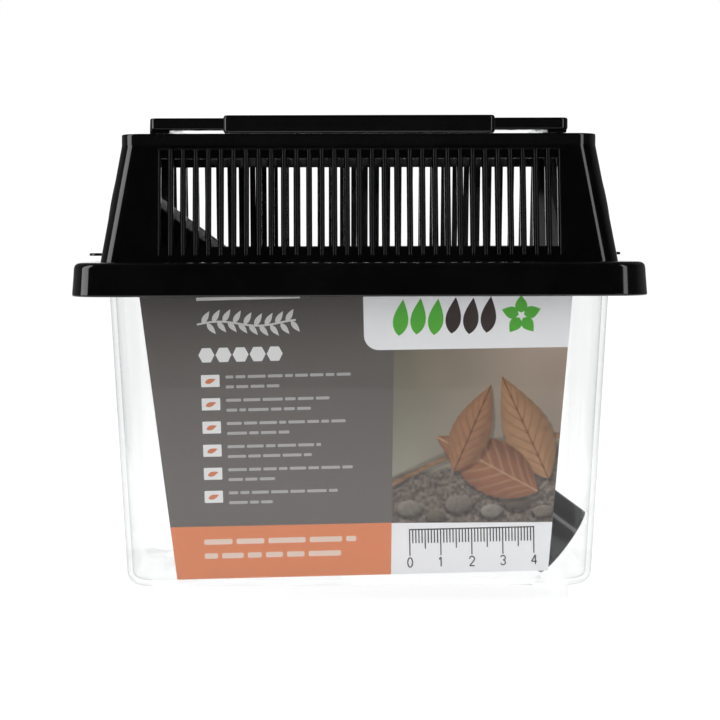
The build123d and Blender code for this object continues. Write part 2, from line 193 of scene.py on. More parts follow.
def corner_painted_shade(tree, facing):
    """1 where an upright rounded corner turns edge-on and is seen through its thickness, else 0: the
    share of painted shade in the see-through colour, standing for the darker room seen bent through
    the corner.

    The normal's X times its Y is 0 on a flat wall and grows round a corner; its size is held at 1
    past a small value. It counts only outside, where the place's X and the normal's X agree, and
    is multiplied by the cube of the facing.
    """
    coordinates = tree.nodes.new("ShaderNodeTexCoord")
    normal = split_vector(tree, coordinates.outputs["Normal"])
    place = split_vector(tree, coordinates.outputs["Object"])
    bend = math_node(tree, "ABSOLUTE", math_node(tree, "MULTIPLY", normal["X"], normal["Y"]))
    outward = math_node(tree, "MULTIPLY", normal["X"], place["X"])
    corner = math_node(
        tree,
        "MULTIPLY",
        remap(tree, bend, *CORNER_BEND, 0, 1),
        remap(tree, outward, *CORNER_OUTWARD, 0, 1),
    )
    return math_node(tree, "MULTIPLY", corner, math_node(tree, "POWER", facing, 3.0))


def clear_moulding(name, foot_share, wall_share):
    """Clear polished plastic, a little wavy, with faint rubbed patches.

    Most light goes straight through, as through a thin even wall. A share of it bends as in solid
    plastic: foot_share in the floor and the feet, wall_share above them. Each surface reflects
    more the more it turns edge-on, by the fifth power of one minus the cosine. Lamps shine
    through it.
    """
    material, tree, shader = new_material(name)
    rubbed = object_noise(tree, *RUBBED)
    waves = object_noise(tree, *WAVES)
    tint = blend_colours(tree, rubbed, (0.985, 0.99, 0.99), (0.995, 0.998, 0.998))
    tree.links.new(tint, shader.inputs["Base Color"])
    tree.links.new(remap(tree, rubbed, 0.4, 0.8, 0.0, 0.04), shader.inputs["Roughness"])
    shader.inputs["Transmission Weight"].default_value = 1.0
    shader.inputs["IOR"].default_value = CLEAR_IOR
    normal = bump_chain(tree, [(waves, WAVE_DEPTH)])
    tree.links.new(normal, shader.inputs["Normal"])

    layer = tree.nodes.new("ShaderNodeLayerWeight")
    layer.inputs["Blend"].default_value = 0.5
    facing = layer.outputs["Facing"]
    through = tree.nodes.new("ShaderNodeBsdfTransparent")
    # Painted shade: the see-through colour turns grey at upright corners seen edge-on, standing for
    # the darker room seen bent through them.
    corner_shade = corner_painted_shade(tree, facing)
    tree.links.new(blend_colours(tree, corner_shade, CLEAR_WALL, CLEAR_CORNER_PAINTED_SHADE), through.inputs["Color"])
    polish = tree.nodes.new("ShaderNodeBsdfGlossy")
    polish.inputs["Roughness"].default_value = POLISH_ROUGHNESS
    tree.links.new(normal, polish.inputs["Normal"])
    edge_on = math_node(tree, "POWER", facing, 5.0)
    gloss = remap(tree, edge_on, 0, 1, POLISH_HEAD_ON, POLISH_EDGE_ON)
    thin = mix_shaders(tree, gloss, through.outputs[0], polish.outputs[0])

    coordinates = tree.nodes.new("ShaderNodeTexCoord")
    height = split_vector(tree, coordinates.outputs["Object"])["Z"]
    bent = remap(tree, height, FOOT_TOP, FOOT_TOP + MM, foot_share, wall_share)
    seen = mix_shaders(tree, bent, thin, shader.outputs["BSDF"])
    lamp_ray = tree.nodes.new("ShaderNodeLightPath").outputs["Is Shadow Ray"]
    output = next(n for n in tree.nodes if n.type == "OUTPUT_MATERIAL")
    lit = mix_shaders(tree, lamp_ray, seen, through.outputs[0])
    tree.links.new(lit, output.inputs["Surface"])
    return material


def printed_card_material():
    """Smooth printed card: the print, with painted shade near the top of its panel, is the mesh's own
    colour, under a thin satin varnish.
    """
    material, tree, shader = new_material("printed_card")
    # The print attribute holds the print and the painted shade at the panel's top.
    print_and_shade_colour = tree.nodes.new("ShaderNodeAttribute")
    print_and_shade_colour.attribute_name = "print"
    tree.links.new(print_and_shade_colour.outputs["Color"], shader.inputs["Base Color"])
    fibres = object_noise(tree, *FIBRES)
    tree.links.new(remap(tree, fibres, 0.3, 0.7, 0.42, 0.55), shader.inputs["Roughness"])
    shader.inputs["Specular IOR Level"].default_value = 0.3
    normal = bump_chain(tree, [(fibres, FIBRE_DEPTH)])
    tree.links.new(normal, shader.inputs["Normal"])
    return material


BLACK = black_moulding(
    "black_plastic_gloss", (0.0012, 0.0012, 0.0013), (0.0026, 0.0026, 0.0028), 0.05, 0.13
)
TUBE_BLACK = black_moulding(
    "tube_plastic_gloss", (0.003, 0.003, 0.0032), (0.006, 0.006, 0.0064), 0.03, 0.09
)
CLEAR = clear_moulding("clear_plastic_polished", FOOT_GLASS_SHARE, CLEAR_GLASS_SHARE)
CLEAR_HATCH = clear_moulding("clear_hatch_polished", HATCH_GLASS_SHARE, HATCH_GLASS_SHARE)

for node, material in (
    ("lid", BLACK),
    ("handle", BLACK),
    ("port_plug", BLACK),
    ("tube", TUBE_BLACK),
    ("tank", CLEAR),
    ("hatch", CLEAR_HATCH),
):
    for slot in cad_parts[node].material_slots:
        slot.material = material


# ---------------------------------------------------------------- printed card: where it lies

# The print is laid out in millimetres on the card: a runs across from the middle of its bottom
# edge and b runs up. The card leans on the tank's front wall and is turned a little in its plane.
CARD_ORIGIN = (0.95, -38.2887, 7.0)
CARD_HEIGHT = 96.16
CARD_LEAN = 6.3573
CARD_RISE = 95.95
CARD_UP = np.array([0, -CARD_LEAN, CARD_RISE]) / CARD_HEIGHT
CARD_OUT = np.array([0, -CARD_RISE, -CARD_LEAN]) / CARD_HEIGHT
CARD_LIFT = 1.3067
CARD_TURN = math.radians(1.25)
CARD_BOTTOM_HALF = 59.9
CARD_TOP_HALF = 69.5
CARD_THICKNESS = 0.4

# The thickness of one layer of print, and the depth that every patch reaches into the paper.
INK = 0.018
INK_ROOT = 4.5 * INK
TOP_LAYER = 3
PAPER_DEPTH = 0.99 * CARD_THICKNESS


def place_on_card(a, b, depth):
    """Points at (a, b) on the card, depth behind its front: a turn, a lift, then out of its plane."""
    p = a * math.cos(CARD_TURN) - b * math.sin(CARD_TURN)
    q = a * math.sin(CARD_TURN) + b * math.cos(CARD_TURN) + CARD_LIFT
    across = np.array([1.0, 0, 0])
    point = p[..., None] * across + q[..., None] * CARD_UP - depth * CARD_OUT
    return (np.array(CARD_ORIGIN) + point) * MM


def card_edge(b):
    """Half the card's width at height b: a straight line from its bottom to its top."""
    return CARD_BOTTOM_HALF + (CARD_TOP_HALF - CARD_BOTTOM_HALF) * b / CARD_HEIGHT


card_points, card_faces, card_colours = [], [], []
card_count = 0


def add_patch(left, right, columns, colour, front, back, back_colour=None):
    """One flat closed slab on the card, coloured at its points.

    left and right are lists of (a, b) points, one pair to each row, and each row is divided evenly
    between its two ends. The grid faces out, one flat face closes it behind and a wall joins them.
    The back has the front's colours unless it is given one of its own.
    """
    global card_count
    left, right = np.asarray(left, float), np.asarray(right, float)
    share = np.linspace(0, 1, columns)[None, :, None]
    grid = left[:, None] * (1 - share) + right[:, None] * share
    a, b = grid[..., 0], grid[..., 1]
    rows = len(left)
    index = np.arange(rows * columns).reshape(rows, columns)
    quads = np.stack([index[:-1, :-1], index[:-1, 1:], index[1:, 1:], index[1:, :-1]], -1)
    rim = np.concatenate([index[0, :], index[1:, -1], index[-1, -2::-1], index[-2:0:-1, 0]])
    behind = rows * columns + np.arange(len(rim))
    walls = np.stack([rim, behind, np.roll(behind, -1), np.roll(rim, -1)], -1)
    tint = np.ones((rows * columns, 4))
    shade = colour(a, b) if callable(colour) else np.asarray(colour)
    tint[:, :3] = np.broadcast_to(shade, (rows, columns, 3)).reshape(-1, 3)
    front_points = place_on_card(a, b, front).reshape(-1, 3)
    back_points = place_on_card(a.ravel()[rim], b.ravel()[rim], back)
    card_points.extend([front_points, back_points])
    back_tint = tint[rim]
    if back_colour is not None:
        back_tint[:, :3] = back_colour
    card_colours.extend([tint, back_tint])
    card_faces.extend((quads.reshape(-1, 4) + card_count).tolist())
    card_faces.extend((walls + card_count).tolist())
    card_faces.append((behind[::-1] + card_count).tolist())
    card_count += rows * columns + len(rim)


def ink(left, right, columns, colour, layer=1):
    """A patch of print; a higher layer lies over a lower one, all inside the card's thickness."""
    add_patch(left, right, columns, colour, INK * (TOP_LAYER - layer), INK_ROOT)


def block(a0, b0, a1, b1, colour, layer=2, corner=0.0):
    """A rectangle from (a0, b0) to (a1, b1), its corners rounded by quarter circles."""
    if corner:
        turn = np.linspace(0, math.pi / 2, 5)
        b = np.concatenate([b0 + corner * (1 - np.cos(turn)), b1 - corner * (1 - np.cos(turn[::-1]))])
        inset = corner * np.concatenate([1 - np.sin(turn), 1 - np.sin(turn[::-1])])
    else:
        b, inset = np.array([b0, b1]), np.zeros(2)
    ink(np.stack([a0 + inset, b], -1), np.stack([a1 - inset, b], -1), 3, colour, layer)


def leaf(a, b, angle, length, width, colour, layer=2):
    """A pointed leaf from its foot (a, b) at an angle: half its width is a sine of the way up it.

    It is laid out straight, with its widest place a third of the way up, and then turned.
    """
    t = np.linspace(0.0, 1.0, 13)
    half = 0.5 * width * np.sin(math.pi * t**0.75) + 0.01
    along = length * t
    c, s = math.cos(angle), math.sin(angle)
    foot = np.array([a, b])
    centre = foot + along[:, None] * np.array([c, s])
    side = half[:, None] * np.array([-s, c])
    ink(centre + side, centre - side, 5, colour, layer)


def stroke(points, width, colour):
    """A line of even width through (a, b) points, squared off where it ends."""
    points = np.asarray(points, float)
    way = np.gradient(points, axis=0)
    way /= np.linalg.norm(way, axis=1)[:, None]
    side = np.stack([-way[:, 1], way[:, 0]], -1) * width / 2
    ink(points + side, points - side, 2, colour, 2)


# ---------------------------------------------------------------- printed card: its colours

# The panel's own grey low down, and a darker grey near its top that is painted shade of the lid's
# rim.
PANEL_TOP_IN_PAINTED_SHADE = (0.092, 0.083, 0.077)
PANEL_LOW = (0.140, 0.127, 0.120)
PANEL_PAINTED_SHADE_FROM = 68.0
PANEL_PAINTED_SHADE_TO = 92.0
ORANGE = (0.73, 0.235, 0.10)
PAPER = (0.90, 0.90, 0.92)
BOARD_BACK = (0.40, 0.38, 0.35)
BLANK_BOX = (0.80, 0.80, 0.80)
STUD = (0.78, 0.78, 0.78)
BOX_LEAF = (0.62, 0.19, 0.09)
BAND_MARK = (0.80, 0.62, 0.53)
PALE_MARK = (0.66, 0.65, 0.64)
WORD_MARK = (0.42, 0.41, 0.40)
DARK_MARK = (0.03, 0.026, 0.025)
LEAF_GREEN = (0.10, 0.46, 0.05)
LEAF_GREY = (0.05, 0.036, 0.033)

# Edges of the printed areas. Those marked rise or drop lean by that much at one end, because the
# print isn't square with the card.
BAND_TOP = 16.95
BAND_LEFT_RISE = 0.0041 * 69
DIVIDE_FOOT = 9.14
DIVIDE_SLOPE = 0.0328
PICTURE_FOOT = 16.0
PICTURE_LEFT_RISE = 0.84
PICTURE_RIGHT_DROP = 0.14
HEADER_LEFT = 2.1
HEADER_FOOT = 73.0
HEADER_RIGHT_DROP = 0.5
HEADER_CORNER = 4.8

# The small print on the panel: six rows of a box and two lines of bars.
BOX_COUNT = 6
BOX_PITCH = 7.51
BOX_TOP_ROW = 64.4
BOX_LEFT, BOX_RIGHT = -50.25, -44.35
BOX_HALF_HEIGHT = 1.95
BARS_LEFT = -42.4
BAR_LENGTHS = (40, 19, 33, 27, 38, 21, 30, 28, 41, 17, 35, 14)
BAR_HEIGHT = 0.95
BAND_BARS_LEFT = -50.8
BAND_BAR_HEIGHT = 1.75
BAND_BARS = ((12.1, 49), (7.5, 44))
SHORTEST_WORD = 1.5
WORD_LENGTHS = (2.2, 7.0)
WORD_GAP = 0.75
WORD_CORNER = 0.3

# The panel's ornament: a flat rule, six-sided studs by the height and half width of their corner
# rows, and a sprig that waves along the panel with a leaf up and a leaf down at each step.
PANEL_RULE = (-51, 90.2, -18, 91.2)
STUD_COUNT = 5
STUD_FIRST, STUD_PITCH = -48.3, 5.45
STUD_ROWS = np.array([70.4, 72.7, 75.0])
STUD_HALF = np.array([1.35, 2.55, 1.35])
SPRIG_LEFT, SPRIG_RIGHT = -51.0, -19.5
SPRIG_HEIGHT = 82.6
SPRIG_SWAY = 0.8
SPRIG_WAVE = 4.2

# The rule: 40 mm long, with long, middling and short marks by the height of their feet.
RULE_START = 15.4
RULE_LENGTH = 40
RULE_TOP = 14.6
MARK_HALF = 0.19
MARK_FEET = (5.9, 8.2, 10.0)
FIGURE_FOOT = 2.2
FIGURE_HEIGHT = 3.1


def divide(b):
    """Where the panel meets the picture at height b: a line that leans a little to the right."""
    return DIVIDE_FOOT + DIVIDE_SLOPE * b


def sprig_stem(a):
    """How high the sprig's stem runs at a: a sine wave about a level line."""
    return SPRIG_HEIGHT + SPRIG_SWAY * np.sin((a - SPRIG_LEFT) / SPRIG_WAVE)


def mix(first, second, share):
    """The first colour where share is 0, the second where it is 1, on a whole grid."""
    share = np.clip(share, 0, 1)[..., None]
    return np.asarray(first) * (1 - share) + np.asarray(second) * share


LATTICE = 512


def cloud(a, b, size, seed, octaves=3):
    """Smooth noise from 0 to 1: random values on a lattice, blended by a cubic, in octaves."""
    total, weight = np.zeros_like(a), 0.0
    for octave in range(octaves):
        step = size / 2**octave
        rng = np.random.default_rng(seed + octave)
        lattice = rng.random((LATTICE, LATTICE))
        u, v = a / step + 100, b / step + 100
        i, j = np.floor(u).astype(int), np.floor(v).astype(int)
        fu, fv = u - i, v - j
        fu, fv = fu * fu * (3 - 2 * fu), fv * fv * (3 - 2 * fv)
        i, j = i % (LATTICE - 1), j % (LATTICE - 1)
        low = lattice[i, j] * (1 - fu) + lattice[i + 1, j] * fu
        high = lattice[i, j + 1] * (1 - fu) + lattice[i + 1, j + 1] * fu
        total += (low * (1 - fv) + high * fv) / 2**octave
        weight += 1 / 2**octave
    return total / weight


def panel_colour_with_painted_shade(a, b):
    """The plain panel: one warm grey, with painted shade of the lid's rim that darkens it in a
    straight line near its top.
    """
    return mix(PANEL_LOW, PANEL_TOP_IN_PAINTED_SHADE, (b - PANEL_PAINTED_SHADE_FROM) / (PANEL_PAINTED_SHADE_TO - PANEL_PAINTED_SHADE_FROM))


def dry_leaf(a, b, foot, angle, length, width, colour, vein, seed):
    """A dry leaf's colour and cover at (a, b), seen from above.

    In the leaf's own frame u runs along its midrib from 0 to 1 and v across it from -1 to 1 at its
    edge, where the half width is a sine of u. Side veins are a wave of u minus |v|, the midrib is
    narrow in v, and the edge is toothed by a fine wave.
    """
    c, s = math.cos(angle), math.sin(angle)
    u = ((a - foot[0]) * c + (b - foot[1]) * s) / length
    across = -(a - foot[0]) * s + (b - foot[1]) * c
    inside = np.clip(u, 0, 1)
    half = width / 2 * np.sin(math.pi * inside**0.8) * (1 + 0.05 * np.abs(np.sin(38 * u)))
    v = across / np.maximum(half, 0.01)
    cover = np.clip((1 - np.abs(v)) * half / 0.35, 0, 1) * (u > 0) * (u < 1)
    veins = 0.5 + 0.5 * np.cos(2 * math.pi * (9 * u - 2.2 * np.abs(v)))
    veins = veins**6 * np.clip(1 - np.abs(v), 0, 1) ** 0.5
    rib = np.exp(-((across / 0.28) ** 2)) * (u > -0.02)
    curl = 0.62 + 0.5 * (0.5 + 0.5 * np.sin(2.2 * v + 1.2)) + 0.25 * (cloud(a, b, 2.2, seed) - 0.5)
    shade = np.asarray(colour) * curl[..., None]
    shade = mix(shade, np.asarray(vein), 0.55 * veins + 0.9 * rib)
    return shade, cover


def pebble(a, b, centre, size, colour, seed):
    """A pebble's colour and cover: an ellipse with a lit upper left and a dark foot."""
    x, y = (a - centre[0]) / size[0], (b - centre[1]) / size[1]
    r = np.sqrt(x * x + y * y)
    light = 0.75 + 0.45 * (y - 0.5 * x) * np.clip(r, 0, 1) + 0.5 * (cloud(a, b, 0.7, seed) - 0.5)
    cover = np.clip((1 - r) * min(size) / 0.3, 0, 1)
    return np.asarray(colour) * light[..., None], cover


# The picture's parts. A pebble has its middle, its half sizes and its colour; a dry leaf has its
# foot, angle, length, width, colour, vein colour and the seed of its noise.
GROUND_TOP = ((0.17, 0.155, 0.115), (0.40, 0.31, 0.25))
GROUND_LOW = ((0.31, 0.295, 0.245), (0.20, 0.17, 0.135))
SOIL = (0.155, 0.123, 0.103)
BARK = (0.22, 0.125, 0.07)
PEBBLES = (
    (15.5, 21.5, 4.2, 2.7, (0.23, 0.20, 0.17)),
    (24.0, 19.0, 3.2, 2.0, (0.16, 0.125, 0.10)),
    (31.5, 22.5, 4.6, 3.0, (0.20, 0.165, 0.14)),
    (42.0, 20.0, 3.8, 2.3, (0.26, 0.23, 0.20)),
    (50.0, 23.0, 4.4, 2.9, (0.15, 0.115, 0.09)),
    (58.5, 19.6, 3.4, 2.1, (0.22, 0.18, 0.15)),
)
DRY_LEAVES = (
    ((60.5, 30.0), 1.98, 37.0, 15.0, (0.34, 0.185, 0.095), (0.16, 0.07, 0.03), 71),
    ((57.0, 26.0), 2.62, 38.0, 17.5, (0.245, 0.10, 0.052), (0.42, 0.26, 0.15), 75),
    ((30.0, 33.0), 1.15, 31.0, 12.5, (0.29, 0.14, 0.07), (0.13, 0.06, 0.03), 79),
)


def picture_colour(a, b):
    """A plain picture of a forest floor: dry leaves and a twig on pebbles, before a soft ground.

    The soft ground blends four corner colours. Leaves, twig and pebbles are laid over it in turn,
    each by its cover from 0 to 1, over a soft shadow a little below it.
    """
    across = (a - 10) / 55
    up = (b - PICTURE_FOOT) / (HEADER_FOOT - PICTURE_FOOT)
    top = mix(*GROUND_TOP, across)
    low = mix(*GROUND_LOW, across)
    colour = mix(low, top, up)
    colour *= (0.86 + 0.28 * cloud(a, b, 16, 5, 2))[..., None]

    grit = cloud(a, b, 0.8, 11, 2)
    floor_line = 13.5 + 0.19 * (a - 10) + 5.0 * cloud(a, 0 * b, 14, 21, 2)
    floor = np.clip((PICTURE_FOOT + floor_line - b) / 1.6, 0, 1)
    soil = np.asarray(SOIL) * (0.35 + 1.5 * grit**1.6)[..., None]
    colour = mix(colour, soil, floor)

    def lay(shade, cover):
        nonlocal colour
        colour = mix(colour, shade, cover)

    def shadow(cover, depth):
        nonlocal colour
        colour = colour * (1 - depth * np.clip(cover, 0, 1))[..., None]

    for k, (ca, cb, ra, rb, tone) in enumerate(PEBBLES):
        shadow(pebble(a, b + 0.9, (ca, cb), (ra * 1.15, rb * 1.15), tone, 0)[1], 0.55)
        lay(*pebble(a, b, (ca, cb), (ra, rb), tone, 40 + k))

    bend = 2.6 * np.sin((a - 12) / 13.0)
    twig = np.abs(b - (30.5 + 0.30 * (a - 12) + bend))
    shadow(np.clip((1.9 - np.abs(twig - 0.6)) / 0.8, 0, 1) * (a < 62), 0.35)
    bark = np.asarray(BARK) * (0.55 + 0.9 * cloud(a * 0.35, b, 0.8, 61, 2))[..., None]
    lay(bark * (1.15 - 0.35 * twig)[..., None], np.clip((1.05 - twig) / 0.3, 0, 1))

    for foot, angle, length, width, tone, vein, seed in DRY_LEAVES:
        drop = dry_leaf(a - 0.5, b + 1.0, foot, angle, length, width * 1.06, tone, vein, seed)[1]
        shadow(drop, 0.4)
        lay(*dry_leaf(a, b, foot, angle, length, width, tone, vein, seed))
    return np.clip(colour, 0.01, 0.9)


# ---------------------------------------------------------------- printed card: its parts

def line_of_words(a, b, length, height, colour, rng):
    """A row of short blank bars that stands where small print would be.

    Lengths, gaps and rounded corners are in shares of the bars' height.
    """
    end = a + length
    while a < end - SHORTEST_WORD * height:
        step = min(height * rng.uniform(*WORD_LENGTHS), end - a)
        block(a, b - height / 2, a + step, b + height / 2, colour, 2, WORD_CORNER * height)
        a += step + WORD_GAP * height


def digit(number, a, b, height, colour):
    """A plain figure for the rule, drawn with straight and round strokes in a narrow box."""
    w, h = 0.5 * height, height
    turn = np.linspace(0, 2 * math.pi, 17)
    arc = np.linspace(0, 1, 9)
    if number == 0:
        shapes = [np.stack([w / 2 + w / 2 * np.cos(turn), h / 2 + h / 2 * np.sin(turn)], -1)]
    elif number == 1:
        shapes = [[(w / 2, 0), (w / 2, h)], [(w / 2, h), (w * 0.1, h * 0.75)]]
    elif number == 2:
        top = math.pi * (1 - 1.25 * arc)
        curve = np.stack([w / 2 + w / 2 * np.cos(top), h * 0.72 + h * 0.28 * np.sin(top)], -1)
        shapes = [np.concatenate([curve, [(0, 0)]]), [(0, 0), (w, 0)]]
    elif number == 3:
        top = math.pi * (0.9 - 1.4 * arc)
        low = math.pi * (0.5 - 1.4 * arc)
        shapes = [
            np.stack([w / 2 + w / 2 * np.cos(top), h * 0.76 + h * 0.24 * np.sin(top)], -1),
            np.stack([w / 2 + w / 2 * np.cos(low), h * 0.27 + h * 0.27 * np.sin(low)], -1),
        ]
    else:
        shapes = [
            [(w * 0.8, 0), (w * 0.8, h)],
            [(w * 0.8, h), (0, h * 0.3)],
            [(0, h * 0.3), (w * 1.1, h * 0.3)],
        ]
    for shape in shapes:
        stroke(np.asarray(shape, float) + (a - w / 2, b), 0.13 * height, colour)


def build_card():
    """The card as one piece: a closed slab of paper and, over it, closed patches of print."""
    rng = np.random.default_rng(3)
    b = np.linspace(0, CARD_HEIGHT, 49)
    edge = card_edge(b)
    left, right = np.stack([-edge, b], -1), np.stack([edge, b], -1)
    add_patch(left, right, 60, PAPER, INK * TOP_LAYER, PAPER_DEPTH, BOARD_BACK)

    # The plain panel, darkened near its top by painted shade of the lid's rim, and the orange band
    # below it, both out to the card's slanting left edge.
    b = np.linspace(BAND_TOP, CARD_HEIGHT, 41)
    left = np.stack([-card_edge(b), b + BAND_LEFT_RISE], -1)
    ink(left, np.stack([divide(b), b], -1), 40, panel_colour_with_painted_shade)
    b = np.linspace(0, BAND_TOP, 9)
    left = np.stack([-card_edge(b), b + BAND_LEFT_RISE * b / BAND_TOP], -1)
    ink(left, np.stack([divide(b), b], -1), 30, ORANGE)

    # The picture, and the pale header over its top with one rounded corner.
    picture_top = HEADER_FOOT + 2
    b = np.linspace(PICTURE_FOOT, picture_top, 270)
    lean = 1 - (b - PICTURE_FOOT) / (picture_top - PICTURE_FOOT)
    left = np.stack([divide(b), b + PICTURE_LEFT_RISE * lean], -1)
    right = np.stack([card_edge(b), b - PICTURE_RIGHT_DROP * lean], -1)
    ink(left, right, 250, picture_colour)
    turn = np.linspace(0, math.pi / 2, 13)
    corner = HEADER_FOOT + HEADER_CORNER * (1 - np.cos(turn))
    b = np.concatenate([corner, [85, CARD_HEIGHT]])
    inset = np.concatenate([HEADER_CORNER * (1 - np.sin(turn)), [0, 0]])
    right = np.stack([card_edge(b), b - HEADER_RIGHT_DROP * (b < 84)], -1)
    ink(np.stack([HEADER_LEFT + inset, b], -1), right, 12, PAPER, 2)

    # Header ornament: a row of plain upright leaves and a rosette of five.
    for k, tone in enumerate(3 * [LEAF_GREEN] + 3 * [LEAF_GREY]):
        leaf(13.2 + 5.6 * k, 77.4 + 0.3 * (k % 2), math.radians(82), 11.8, 4.9, tone, 3)
    for k in range(5):
        angle = math.radians(90 + 72 * k)
        foot = (52.4 + 0.9 * math.cos(angle), 83.0 + 0.9 * math.sin(angle))
        leaf(*foot, angle, 5.6, 3.9, LEAF_GREEN, 3)

    # Panel ornament: a rule, a leafy sprig and a row of six-sided studs.
    block(*PANEL_RULE, PALE_MARK)
    a = np.linspace(SPRIG_LEFT, SPRIG_RIGHT, 40)
    stroke(np.stack([a, sprig_stem(a)], -1), 0.6, PALE_MARK)
    for k in range(9):
        foot = -49.4 + 3.35 * k
        height = sprig_stem(foot)
        leaf(foot, height, math.radians(58), 4.6, 1.75, PALE_MARK)
        leaf(foot + 1.6, height, math.radians(-52), 4.4, 1.7, PALE_MARK)
    for k in range(STUD_COUNT):
        middle = STUD_FIRST + STUD_PITCH * k
        left = np.stack([middle - STUD_HALF, STUD_ROWS], -1)
        ink(left, np.stack([middle + STUD_HALF, STUD_ROWS], -1), 3, STUD, 2)

    # Six blank boxes, each with a small leaf, beside two rows of blank bars.
    for k in range(BOX_COUNT):
        middle = BOX_TOP_ROW - BOX_PITCH * k
        low, high = middle - BOX_HALF_HEIGHT, middle + BOX_HALF_HEIGHT
        block(BOX_LEFT, low, BOX_RIGHT, high, BLANK_BOX, 2, 0.25)
        leaf(BOX_LEFT + 1.25, middle - 0.55, math.radians(18), 3.6, 1.5, BOX_LEAF, 3)
        for row, lower in enumerate((-1.15, 2.05)):
            length = BAR_LENGTHS[2 * k + row]
            line_of_words(BARS_LEFT, middle - lower, length, BAR_HEIGHT, WORD_MARK, rng)
    for height, length in BAND_BARS:
        line_of_words(BAND_BARS_LEFT, height, length, BAND_BAR_HEIGHT, BAND_MARK, rng)

    # A printed rule in millimetres, with a figure at each centimetre.
    for k in range(RULE_LENGTH + 1):
        foot = MARK_FEET[0 if k % 10 == 0 else 1 if k % 5 == 0 else 2]
        middle = RULE_START + k
        block(middle - MARK_HALF, foot, middle + MARK_HALF, RULE_TOP, DARK_MARK)
    block(RULE_START - 0.2, RULE_TOP - 0.3, RULE_START + RULE_LENGTH + 0.2, RULE_TOP + 0.1, DARK_MARK)
    for k in range(RULE_LENGTH // 10 + 1):
        digit(k, RULE_START + 10 * k, FIGURE_FOOT, FIGURE_HEIGHT, DARK_MARK)

    mesh = bpy.data.meshes.new("label_card_print_and_shade")
    mesh.from_pydata(np.concatenate(card_points).tolist(), [], card_faces)
    # These colours are the print plus the painted shade at the panel's top.
    layer = mesh.color_attributes.new("print", "FLOAT_COLOR", "POINT")
    layer.data.foreach_set("color", np.concatenate(card_colours).ravel())
    mesh.materials.append(printed_card_material())
    card = bpy.data.objects.new("printed_card", mesh)
    bpy.context.scene.collection.objects.link(card)
    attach(card, "tank")
    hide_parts("label_card")


build_card()


# ---------------------------------------------------------------- camera

FOCAL_PIXELS = 2230
FRAME_PIXELS = 720
SENSOR_WIDTH = 36.0
HORIZON_ROW = 240
SLOT_WALL_Y = -46 * MM
CAMERA_DISTANCE = 707.9 * MM
CAMERA_HEIGHT = 116.4 * MM
CAMERA_BEARING = math.radians(1.33)
CAMERA_YAW = math.radians(0.45)
CAMERA_ROLL = math.radians(-0.15)
CAMERA_CLIP = (0.05, 20)


def place_camera():
    """A camera a little above the lid's foot, in front of the slots and a little to their left.

    It looks less far to the right than the bearing of the box, so its frame is shifted by the
    tangent of the difference.
    """
    bearing = Vector((math.sin(CAMERA_BEARING), math.cos(CAMERA_BEARING), 0))
    data = bpy.data.cameras.new("camera")
    data.sensor_width = SENSOR_WIDTH
    data.lens = SENSOR_WIDTH * FOCAL_PIXELS / FRAME_PIXELS
    pitch = math.atan((FRAME_PIXELS / 2 - HORIZON_ROW) / FOCAL_PIXELS)
    camera = bpy.data.objects.new("camera", data)
    bpy.context.scene.collection.objects.link(camera)
    target = Vector((0, SLOT_WALL_Y, CAMERA_HEIGHT))
    camera.location = target - bearing * CAMERA_DISTANCE
    data.shift_x = math.tan(CAMERA_BEARING - CAMERA_YAW) * FOCAL_PIXELS / FRAME_PIXELS
    turn = Matrix.Rotation(-CAMERA_YAW, 3, "Z") @ Matrix.Rotation(math.pi / 2 - pitch, 3, "X")
    camera.rotation_euler = (turn @ Matrix.Rotation(CAMERA_ROLL, 3, "Z")).to_euler()
    data.clip_start, data.clip_end = CAMERA_CLIP
    bpy.context.scene.camera = camera


place_camera()


# ---------------------------------------------------------------- studio

FLOOR_FRONT_Y = -0.45
FLOOR_FADE_Y = -0.2
FLOOR_HALF_WIDTH = 0.32
COVE_RADIUS = 0.4
BACKDROP_Y = 1.1
BACKDROP_HEIGHT = 1.6
PAPER_LIT = (0.86, 0.86, 0.86, 1)
PAPER_ROUGHNESS = 0.9
PAPER_WHITE = 1.18
PAPER_FADED = 0.2
PAPER_SHADOW_SHARE = 0.25


def studio_sheet():
    """The pale floor, curved up into a backdrop: a profile in Y and Z carried along X.

    The profile runs along the floor to the cove, round a quarter circle and straight up.
    """
    arc = np.linspace(0, math.pi / 2, 24)
    y = np.concatenate(
        [[FLOOR_FRONT_Y], BACKDROP_Y + COVE_RADIUS * np.sin(arc), [BACKDROP_Y + COVE_RADIUS]]
    )
    z = np.concatenate([[0], COVE_RADIUS * (1 - np.cos(arc)), [BACKDROP_HEIGHT]])
    x = np.array([-FLOOR_HALF_WIDTH, FLOOR_HALF_WIDTH])
    verts = np.stack([np.tile(x, len(y)), np.repeat(y, 2), np.repeat(z, 2)], -1)
    first = np.arange(len(y) - 1) * 2
    faces = np.stack([first, first + 1, first + 3, first + 2], -1)
    mesh = bpy.data.meshes.new("studio_sheet")
    mesh.from_pydata(verts.tolist(), [], faces.tolist())
    mesh.shade_smooth()
    sheet = bpy.data.objects.new("studio_sheet", mesh)
    bpy.context.scene.collection.objects.link(sheet)
    return sheet


def ray_kind(tree, *kinds):
    """1 for a ray of any of these kinds, else 0."""
    rays = tree.nodes.new("ShaderNodeLightPath")
    value = rays.outputs[kinds[0]]
    for kind in kinds[1:]:
        value = math_node(tree, "MAXIMUM", value, rays.outputs[kind])
    return value


